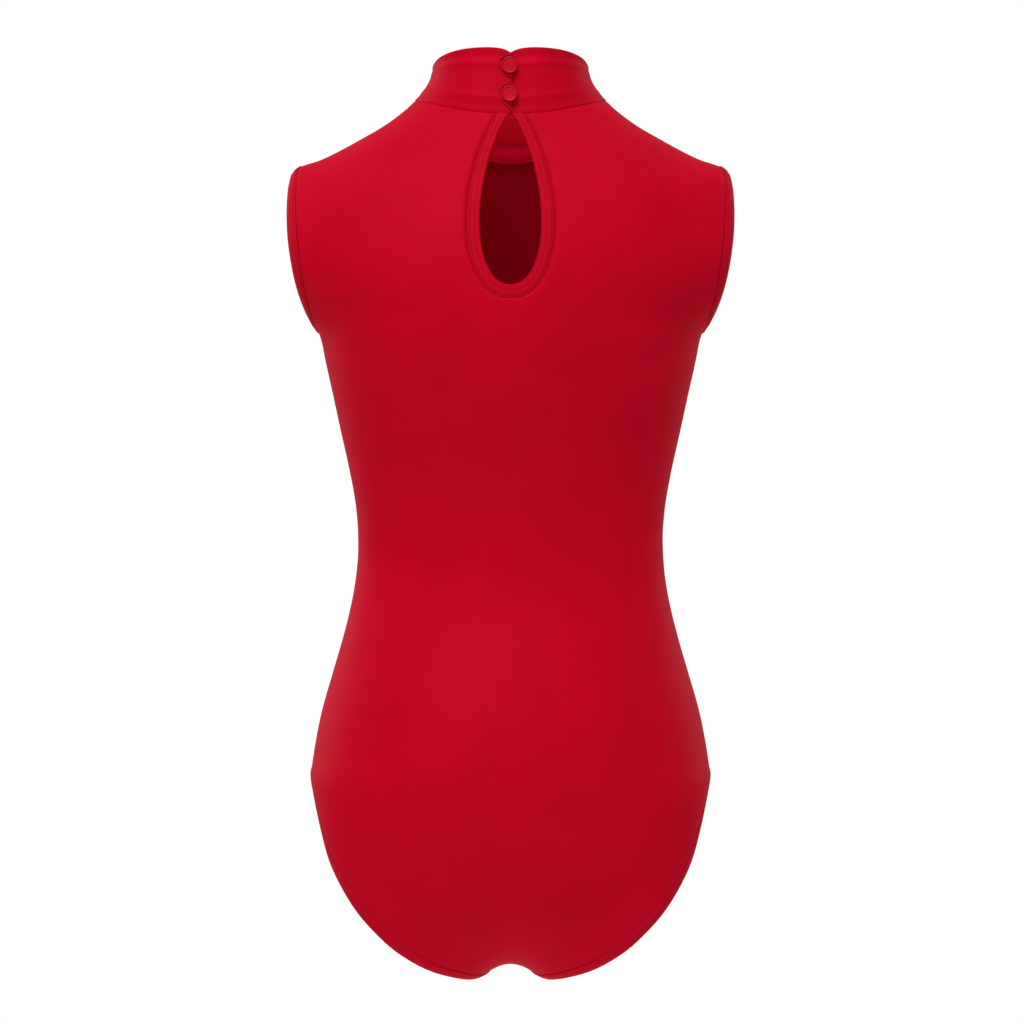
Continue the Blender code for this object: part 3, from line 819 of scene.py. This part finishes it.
def makeKeyholeBinding():
    count = keyholeLook["stations"]
    parts = sorted(
        [math.sin(step / count * math.pi / 2) ** keyholeLook["crowding"] for step in range(count + 1)]
        + [1 - short for short in keyholeLook["joinStations"]]
    )
    middle = []
    top, opening, binding = keyhole["top"], keyhole["opening"], keyhole["binding"]
    for part in parts:
        openingHeight = top + (opening["bottom"] - top) * part
        bindingHeight = top + (binding["bottom"] - top) * part - keyholeLook["tuck"] * part
        openingX = teardrop(part, opening)
        bindingX = teardrop(part, binding) + keyholeLook["tuck"] * math.sqrt(1 - part)
        row = []
        for share in np.linspace(0.0, 1.0, bandLook["columns"]):
            x = bindingX + (openingX - bindingX) * share
            height = bindingHeight + (openingHeight - bindingHeight) * share
            row.append(backPointAt(x, height))
        middle.append(row)
    half = np.array(middle)
    mirrored = half[-2::-1] * np.array([-1.0, 1.0, 1.0])
    middle = np.concatenate([half, mirrored])
    facing = gridNormals(middle)
    if facing[:, :, 1].sum() < 0:
        facing = -facing
    parts = np.linspace(0.0, 1.0, bandLook["columns"])
    middle = middle + facing * bindingShape(parts)[None, :, None]
    atBottom = middle[:, :, 2] < opening["bottom"] + keyholeLook["joinReach"]
    join = np.exp(-((middle[:, :, 0] / keyholeLook["joinWidth"]) ** 2)) * atBottom
    middle = middle - facing * (keyholeLook["joinDip"] * join)[..., None]
    piece = sweepStrip(
        "keyhole_band", middle, facing, keyholeLook["wall"], False, bindingKnit, "keyhole_binding"
    )
    return piece, middle, facing


keyholeBand, keyholeMiddle, keyholeFacing = makeKeyholeBinding()
print("keyhole binding made")


# collar: one strip, its first end passing under its last at the centre of the back

collarLook = {
    "wall": 1.9 * mm,
    "stations": 190,
    "rows": 36,
    "crowding": 0.9,
    "rimHalfWidth": 58.5 * mm,
    "rimBack": 57.0 * mm,
    "rimFront": 52.0 * mm,
    "rimSide": 29.0 * mm,
    "rimBackRise": 11.6 * mm,
    "rimFrontFall": 16.0 * mm,
    "rimSquare": 2.4,
    "rimFlat": 3.6,
    "notchDepth": 4.4 * mm,
    "notchWidth": 6.0 * mm,
    "lean": 2.0,
    "neckGap": -0.35 * mm,
    "underlap": 12.0 * mm,
    "overlap": 0.4 * mm,
    "lapStep": 2.5 * mm,
    "lapStart": 2.0 * mm,
    "lapBlend": 14.0 * mm,
    "foldedEnd": 2.2 * mm,
    "thinnest": 0.15,
    "endTravels": (-0.2 * mm, 0.0, 0.3 * mm, 0.6 * mm, 1.2 * mm, 2.5 * mm, 4.0 * mm),
    "sideRelief": 0.3,
    "relief": (  # level, width of the roll and its height
        (1.00, 0.05, -0.3 * mm),
        (0.88, 0.06, -0.8 * mm),
        (0.76, 0.05, 0.7 * mm),
        (0.25, 0.06, 0.8 * mm),
        (0.10, 0.06, -0.4 * mm),
        (0.00, 0.03, -0.6 * mm),
    ),
}


def neckPoint(angle):
    table = backSections if math.cos(angle) >= 0 else frontSections
    share = abs(math.asin(math.sin(angle))) / (math.pi / 2)
    x, y, z = onePoint(table, 0.0, max(share, sliver))
    return np.array([-math.copysign(x, math.sin(angle)), y, z])


def rimPoint(angle):
    side, ahead = math.sin(angle), math.cos(angle)
    look = collarLook
    x = -math.copysign(abs(side) ** (2 / look["rimSquare"]), side) * look["rimHalfWidth"]
    reach = look["rimBack"] if ahead >= 0 else look["rimFront"]
    y = math.copysign(abs(ahead) ** (2 / look["rimSquare"]), ahead) * reach
    flat = math.sqrt(max(1 - (abs(x) / look["rimHalfWidth"]) ** look["rimFlat"], 0.0))
    if ahead < 0:
        return np.array([x, y, look["rimSide"] - look["rimFrontFall"] * flat])
    notch = look["notchDepth"] * math.exp(-abs(x) / look["notchWidth"])
    return np.array([x, y, look["rimSide"] + look["rimBackRise"] * flat - notch])


def collarPoint(angle, part):
    base = neckPoint(angle)
    base[2] += collarLook["neckGap"]
    rim = rimPoint(angle)
    lean = 1 - (1 - part) ** collarLook["lean"]
    return np.array([
        base[0] + (rim[0] - base[0]) * lean,
        base[1] + (rim[1] - base[1]) * lean,
        base[2] + (rim[2] - base[2]) * part,
    ])


def collarTurns():
    look = collarLook
    start = -math.asin(look["underlap"] / look["rimBack"])
    end = math.tau + look["overlap"] / look["rimBack"]
    turns = [start + (end - start) * step / look["stations"] for step in range(look["stations"] + 1)]
    for travel in look["endTravels"]:
        turn = travel / look["rimBack"]
        turns += [turn, math.tau - turn, -turn]
    return sorted(set(round(turn, 6) for turn in turns))


def makeCollar():
    look = collarLook
    middle = []
    turns = collarTurns()
    levels = np.linspace(0.0, 1.0, look["rows"]) ** look["crowding"]
    for turn in turns:
        travel = turn * look["rimBack"]
        blend = min(max((travel - look["lapStart"]) / look["lapBlend"], 0.0), 1.0)
        inset = look["lapStep"] * (1 - blend * blend * (3 - 2 * blend))
        row = []
        for level in levels:
            point = collarPoint(turn % math.tau, level)
            inward = -point * np.array([1.0, 1.0, 0.0])
            row.append(point + inward / np.linalg.norm(inward) * inset)
        middle.append(row)
    middle = np.array(middle)
    middleOfNeck = np.array([0.0, 0.0, 10.0 * mm])
    facing = faceOut(middle, gridNormals(middle), middleOfNeck)
    relief = sum(
        height * np.exp(-(((levels - level) / width) ** 2)) for level, width, height in look["relief"]
    )
    turns = np.array(turns)
    sideFade = look["sideRelief"] + (1 - look["sideRelief"]) * np.cos(turns) ** 2
    middle = middle + facing * (sideFade[:, None] * relief[None, :])[..., None]
    toEnd = np.minimum(turns[-1] - turns, turns - turns[0]) * look["rimBack"] / look["foldedEnd"]
    rounding = np.maximum(np.sqrt(1 - (1 - np.minimum(toEnd, 1.0)) ** 2), look["thinnest"])
    piece = sweepStrip(
        "collar_band", middle, facing, look["wall"], False, collarKnit, "collar", rounding
    )
    return piece


collar = makeCollar()
print("collar made")


# buttons, turned from half a section, and the cord loops round them

buttonLook = {
    "radius": 6.2 * mm,
    "height": 2.6 * mm,
    "rim": 1.2 * mm,
    "dish": 0.85 * mm,
    "edge": 0.3 * mm,
    "sides": 48,
    "x": 0.8 * mm,
    "gap": 0.35 * mm,
    "stand": 1.0 * mm,
    "tiltStep": 0.02,
    "heights": {"upper": 26.5 * mm, "lower": 4.8 * mm},
}
loopLook = {
    "cord": 0.6 * mm,
    "radius": 7.9 * mm,
    "rest": 0.7 * mm,
    "rounding": 3,
    "arcSteps": 40,
    "tailSteps": 12,
    "routes": {
        "upper": {"start": 76.0, "end": 268.0, "tail": (2.4 * mm, -8.6 * mm)},
        "lower": {"start": 76.0, "end": 206.0, "tail": (1.6 * mm, -12.8 * mm)},
    },
}


def closureFrame(height):  # a button's place on the collar: its side, upward and outward ways
    low, high = collarPoint(0.0, 0.0), collarPoint(0.0, 1.0)
    part = (height - low[2]) / (high[2] - low[2])
    step = buttonLook["tiltStep"]
    place = Vector(collarPoint(0.0, part))
    upward = (Vector(collarPoint(0.0, part + step)) - Vector(collarPoint(0.0, part - step))).normalized()
    outward = Vector((1, 0, 0)).cross(upward).normalized()
    if outward.y < 0:
        outward = -outward
    place = Vector((buttonLook["x"], place.y, place.z)) + outward * buttonLook["stand"]
    side = upward.cross(outward)
    return Matrix.Translation(place) @ Matrix((side, upward, outward)).transposed().to_4x4()


def arcPoints(centre, radius, startTurn, endTurn, steps=4):
    turns = [math.radians(startTurn + (endTurn - startTurn) * step / steps) for step in range(steps + 1)]
    return [(centre[0] + radius * math.cos(turn), centre[1] + radius * math.sin(turn)) for turn in turns]


def makeButton(label):
    look = buttonLook
    foot, top = look["gap"], look["gap"] + look["height"]
    edge, half = look["edge"], look["rim"] / 2
    section = [(0.0, foot)]
    section += arcPoints((look["radius"] - edge, foot + edge), edge, -90, 0)
    section += arcPoints((look["radius"] - half, top - half), half, 0, 180, steps=8)
    section += arcPoints((look["radius"] - look["rim"] - edge, top - look["dish"] + edge), edge, 0, -90)
    section += [(0.0, top - look["dish"])]
    work = bmesh.new()
    line = [work.verts.new((radius, 0.0, level)) for radius, level in section]
    edges = [work.edges.new(pair) for pair in zip(line, line[1:])]
    bmesh.ops.spin(
        work, geom=line + edges, cent=(0, 0, 0), axis=(0, 0, 1), angle=math.tau, steps=look["sides"]
    )
    bmesh.ops.remove_doubles(work, verts=work.verts, dist=mergeDistance)
    bmesh.ops.recalc_face_normals(work, faces=work.faces)
    bmesh.ops.transform(work, matrix=closureFrame(look["heights"][label]), verts=work.verts)
    mesh = bpy.data.meshes.new("button_face_" + label)
    work.to_mesh(mesh)
    work.free()
    mesh.shade_smooth()
    piece = linkMesh("button_face_" + label, mesh, buttonRed, "button_" + label)
    return piece


def collarSurface(x, height):
    low, high = collarPoint(0.0, 0.0), collarPoint(0.0, 1.0)
    part = min(max((height - low[2]) / (high[2] - low[2]), 0.0), 1.0)
    turn = -math.asin(x / collarLook["rimBack"])
    spot = collarPoint(turn % math.tau, part)
    return Vector((x, spot[1] + collarLook["wall"] / 2, height))


def makeLoop(label):
    look = loopLook
    path = look["routes"][label]
    placed = closureFrame(buttonLook["heights"][label])
    route = arcPoints((0.0, 0.0), look["radius"], path["start"], path["end"], look["arcSteps"])
    (leaveX, leaveY), (tailX, tailY) = route[-1], path["tail"]
    for step in range(1, look["tailSteps"] + 1):
        part = step / look["tailSteps"]
        route.append((leaveX + (tailX - leaveX) * part, leaveY + (tailY - leaveY) * part))
    curve = bpy.data.curves.new("loop_cord_" + label, "CURVE")
    curve.dimensions = "3D"
    curve.bevel_depth = look["cord"]
    curve.bevel_resolution = look["rounding"]
    curve.use_fill_caps = True
    spline = curve.splines.new("POLY")
    spline.points.add(len(route) - 1)
    for point, (x, y) in zip(spline.points, route):
        flat = placed @ Vector((x, y, 0.0))
        spot = collarSurface(flat.x, flat.z) + Vector((0.0, look["rest"], 0.0))
        point.co = (*spot, 1.0)
    mesh = meshOf(linkObject("loopRoute", curve))
    mesh.materials.clear()
    mendNormals(mesh)
    mesh.shade_smooth()
    piece = linkMesh("loop_cord_" + label, mesh, loopCord, "button_loop_" + label)
    return piece


for label in ("upper", "lower"):
    makeButton(label)
    makeLoop(label)
print("buttons and loops made")


# stitches: a Geometry Nodes tree sets small threads along a line, turned to the cloth

stitchLook = {
    "sides": 6,
    "rings": 5,
    "sink": 0.1 * mm,  # how deep a thread lies in the cloth
    "inputs": (("Pitch", 2.4 * mm), ("Length", 1.8 * mm), ("Thickness", 0.3 * mm), ("Slant", 0.0)),
}


def stitchTree():
    tree = bpy.data.node_groups.new("stitchRow", "GeometryNodeTree")
    face = tree.interface
    face.new_socket("Geometry", in_out="INPUT", socket_type="NodeSocketGeometry")
    for label, value in stitchLook["inputs"]:
        face.new_socket(label, in_out="INPUT", socket_type="NodeSocketFloat").default_value = value
    face.new_socket("Thread", in_out="INPUT", socket_type="NodeSocketMaterial")
    face.new_socket("Geometry", in_out="OUTPUT", socket_type="NodeSocketGeometry")
    dotInputs = {"Segments": stitchLook["sides"], "Rings": stitchLook["rings"], "Radius": 0.5}
    source = addNode(tree, "NodeGroupInput")
    line = addNode(tree, "GeometryNodeMeshToCurve")
    spaced = addNode(tree, "GeometryNodeResampleCurve", mode="LENGTH")
    dot = addNode(tree, "GeometryNodeMeshUVSphere", dotInputs)
    place = addNode(tree, "GeometryNodeInstanceOnPoints")
    realize = addNode(tree, "GeometryNodeRealizeInstances")
    paint = addNode(tree, "GeometryNodeSetMaterial")
    result = addNode(tree, "NodeGroupOutput")
    linkNodes(
        tree,
        (source, "Geometry", line, "Mesh"),
        (line, "Curve", spaced, "Curve"),
        (source, "Pitch", spaced, "Length"),
        (spaced, "Curve", place, "Points"),
        (dot, "Mesh", place, "Instance"),
        (place, "Instances", realize, "Geometry"),
        (realize, "Geometry", paint, "Geometry"),
        (source, "Thread", paint, "Material"),
        (paint, "Geometry", result, "Geometry"),
    )
    # each thread lies along the line, faces out, and leans to one side and the other in turn
    tangent = addNode(tree, "GeometryNodeInputTangent")
    upInputs = {"Name": "clothNormal"}
    up = addNode(tree, "GeometryNodeInputNamedAttribute", upInputs, data_type="FLOAT_VECTOR")
    lieAlong = addNode(tree, "FunctionNodeAlignRotationToVector", axis="X")
    faceOutward = addNode(tree, "FunctionNodeAlignRotationToVector", axis="Z", pivot_axis="X")
    index = addNode(tree, "GeometryNodeInputIndex")
    odd = addNode(tree, "ShaderNodeMath", {1: 2.0}, operation="MODULO")
    swing = addNode(tree, "ShaderNodeMath", {1: 2.0, 2: -1.0}, operation="MULTIPLY_ADD")
    turn = addNode(tree, "ShaderNodeMath", operation="MULTIPLY")
    angles = addNode(tree, "ShaderNodeCombineXYZ")
    slant = addNode(tree, "FunctionNodeEulerToRotation")
    rotate = addNode(tree, "FunctionNodeRotateRotation", rotation_space="LOCAL")
    linkNodes(
        tree,
        (tangent, "Tangent", lieAlong, "Vector"),
        (lieAlong, "Rotation", faceOutward, "Rotation"),
        (up, "Attribute", faceOutward, "Vector"),
        (index, "Index", odd, 0),
        (odd, "Value", swing, 0),
        (swing, "Value", turn, 0),
        (source, "Slant", turn, 1),
        (turn, "Value", angles, "Z"),
        (angles, "Vector", slant, "Euler"),
        (faceOutward, "Rotation", rotate, "Rotation"),
        (slant, "Rotation", rotate, "Rotate By"),
        (rotate, "Rotation", place, "Rotation"),
    )
    size = addNode(tree, "ShaderNodeCombineXYZ")
    linkNodes(
        tree,
        (source, "Length", size, "X"),
        (source, "Thickness", size, "Y"),
        (source, "Thickness", size, "Z"),
        (size, "Vector", place, "Scale"),
    )
    return tree


stitchRow = stitchTree()
sockets = {
    item.name: item.identifier for item in stitchRow.interface.items_tree if item.in_out == "INPUT"
}


def sewLine(points, normals, closed, rows, material):
    mesh = bpy.data.meshes.new("stitchLine")
    count = len(points)
    edges = [(index, (index + 1) % count) for index in range(count if closed else count - 1)]
    mesh.from_pydata([tuple(point) for point in points], edges, [])
    layer = mesh.attributes.new("clothNormal", "FLOAT_VECTOR", "POINT")
    layer.data.foreach_set("vector", np.asarray(normals, np.float32).ravel())
    holder = linkObject("stitchLine", mesh)
    sew = holder.modifiers.new("sew", "NODES")
    sew.node_group = stitchRow
    for label, _ in stitchLook["inputs"]:
        sew[sockets[label]] = rows[label.lower()]
    sew[sockets["Thread"]] = material
    holder.update_tag()
    return meshOf(holder)


def joinMeshes(name, meshes, material):
    work = bmesh.new()
    for mesh in meshes:
        work.from_mesh(mesh)
    joined = bpy.data.meshes.new(name)
    work.to_mesh(joined)
    work.free()
    joined.shade_smooth()
    piece = linkMesh(name, joined, material)
    return piece


def surfaceLine(middle, facing, share, lift):
    place = share * (middle.shape[1] - 1)
    column = min(int(place), middle.shape[1] - 2)
    part = place - column
    points = middle[:, column] * (1 - part) + middle[:, column + 1] * part
    normals = facing[:, column] * (1 - part) + facing[:, column + 1] * part
    normals /= np.linalg.norm(normals, axis=1, keepdims=True)
    return points + normals * lift, normals


def sewBand(name, middle, facing, closed, rows, material):
    meshes = []
    for share in rows["shares"]:
        line, normals = surfaceLine(middle, facing, share, bandLook["wall"] / 2 - stitchLook["sink"])
        meshes.append(sewLine(line, normals, closed, rows, material))
    return joinMeshes(name, meshes, material)


for label in ("left", "right"):
    _, middle, facing = armholes[label]
    sewBand("armhole_stitches_" + label, middle, facing, True, coverRows, stitchThread)
    sewBand("armhole_crossing_" + label, middle, facing, True, crossRows, crossThread)
    # painted shade: a row of dark dots in the seam where binding meets panel
    sewBand("armhole_seam_shade_" + label, middle, facing, True, seamShadeRows, seamShade)
    _, middle, facing = hems[label]
    sewBand("leg_stitches_" + label, middle, facing, True, hemRows, hemThreadGlint)
sewBand("keyhole_stitches", keyholeMiddle, keyholeFacing, False, coverRows, stitchThread)
sewBand("keyhole_crossing", keyholeMiddle, keyholeFacing, False, crossRows, crossThread)
print("stitches made")


# stage, light and camera

stageLook = {
    "floorRadius": 2.1,
    "floorHeight": -1.0,
    "floorSides": 96,
    "floorColour": (0.9, 0.9, 0.9, 1.0),
    "floorRoughness": 0.9,
    "floorSpecular": 0.5,
    "fill": 0.30,
    "backdrop": 1.0,
}
lamps = (  # name, place, target, size and watts
    ("key", (0.45, 1.8, 2.35), (0, 0, -0.12), 1.4, 66.0),
    ("low", (0.4, 2.8, -0.7), (0, 0, -0.35), 2.2, 7.0),
    ("sideLeft", (2.0, -1.6, 0.5), (0.1, 0, -0.3), 1.4, 22.0),
    ("sideRight", (-2.0, -1.6, 0.5), (-0.1, 0, -0.3), 1.4, 16.0),
)
cameraLook = {
    "distance": 3.2,
    "height": -0.307,
    "side": -1.1 * mm,
    "frameWidth": 1024 * 0.76 * mm,  # the photo's pixels at 0.76 mm each
    "sensor": 36.0,
}


def makeStage():
    look = stageLook
    floorMesh = bpy.data.meshes.new("floor")
    work = bmesh.new()
    bmesh.ops.create_circle(work, cap_ends=True, segments=look["floorSides"], radius=look["floorRadius"])
    bmesh.ops.translate(work, verts=work.verts, vec=(0, 0, look["floorHeight"]))
    work.to_mesh(floorMesh)
    work.free()
    floor = linkObject("floor", floorMesh)
    paint, _, shader = newMaterial("paleFloor", look["floorSpecular"])
    shader.inputs["Base Color"].default_value = look["floorColour"]
    shader.inputs["Roughness"].default_value = look["floorRoughness"]
    floorMesh.materials.append(paint)


def makeWorld():
    white = (1, 1, 1, 1)
    world = bpy.data.worlds.new("studio")
    bpy.context.scene.world = world
    world.use_nodes = True
    tree = world.node_tree
    tree.nodes.clear()
    output = addNode(tree, "ShaderNodeOutputWorld")
    glow = addNode(tree, "ShaderNodeBackground", {"Color": white, "Strength": stageLook["fill"]})
    backdrop = addNode(tree, "ShaderNodeBackground", {"Color": white, "Strength": stageLook["backdrop"]})
    path = addNode(tree, "ShaderNodeLightPath")
    mix = addNode(tree, "ShaderNodeMixShader")
    linkNodes(
        tree,
        (path, "Is Camera Ray", mix, "Fac"),
        (glow, "Background", mix, 1),
        (backdrop, "Background", mix, 2),
        (mix, "Shader", output, "Surface"),
    )


def addLamp(name, place, target, size, watts):
    light = bpy.data.lights.new(name, "AREA")
    light.size = size
    light.energy = watts
    lamp = linkObject(name, light)
    lamp.location = place
    lamp.rotation_euler = (Vector(target) - Vector(place)).to_track_quat("-Z", "Y").to_euler()


def makeCamera():
    look = cameraLook
    camera = bpy.data.cameras.new("camera")
    camera.sensor_width = look["sensor"]
    camera.lens = look["sensor"] * look["distance"] / look["frameWidth"]
    holder = linkObject("camera", camera)
    holder.location = (look["side"], look["distance"], look["height"])
    holder.rotation_euler = (math.radians(90), 0, math.radians(180))
    bpy.context.scene.camera = holder


makeStage()
makeWorld()
for lamp in lamps:
    addLamp(*lamp)
makeCamera()
bpy.context.scene.view_settings.view_transform = "Standard"
print("stage, lights and camera made")
